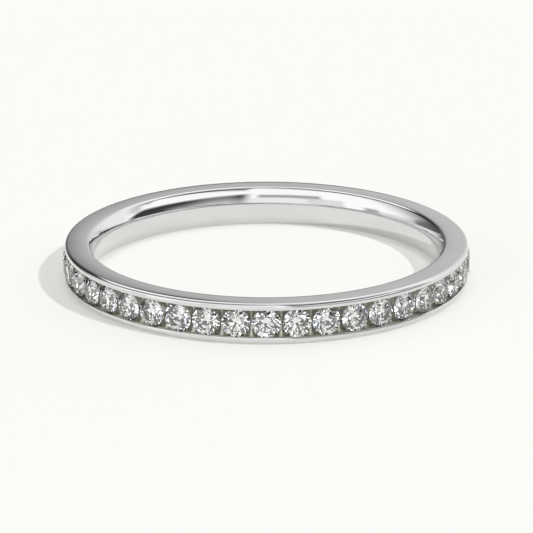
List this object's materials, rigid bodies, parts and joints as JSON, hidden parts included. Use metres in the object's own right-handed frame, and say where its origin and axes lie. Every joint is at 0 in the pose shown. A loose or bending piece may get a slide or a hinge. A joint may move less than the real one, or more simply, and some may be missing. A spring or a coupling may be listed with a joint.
{
  "type": "channel set band",
  "caption": "Full round ring with a row of round brilliant cut stones held in a channel between two plain rims.",
  "frame": {"origin": "middle of the side face that the ring lies on, at the height of that face", "axes": "+Z along the finger, up out of the face that it lies on; the first stone of the row is at -Y"},
  "size_m": [0.0206, 0.0206, 0.0021],
  "materials": {
    "white_gold": "mirror polished white gold with a rhodium plating",
    "stone": "clear colourless stone with polished facets"
  },
  "bodies": {
    "root": {"band": "white_gold", "stone_01": "stone", "stone_02": "stone", "stone_03": "stone", "stone_04": "stone", "stone_05": "stone", "stone_06": "stone", "stone_07": "stone", "stone_08": "stone", "stone_09": "stone", "stone_10": "stone", "stone_11": "stone", "stone_12": "stone", "stone_13": "stone", "stone_14": "stone", "stone_15": "stone", "stone_16": "stone", "stone_17": "stone", "stone_18": "stone", "stone_19": "stone", "stone_20": "stone", "stone_21": "stone", "stone_22": "stone", "stone_23": "stone", "stone_24": "stone", "stone_25": "stone", "stone_26": "stone", "stone_27": "stone", "stone_28": "stone", "stone_29": "stone", "stone_30": "stone", "stone_31": "stone", "stone_32": "stone", "stone_33": "stone", "stone_34": "stone", "stone_35": "stone", "stone_36": "stone", "stone_37": "stone", "stone_38": "stone", "stone_39": "stone", "stone_40": "stone", "stone_41": "stone", "stone_42": "stone", "stone_43": "stone"}
  },
  "joints": []
}
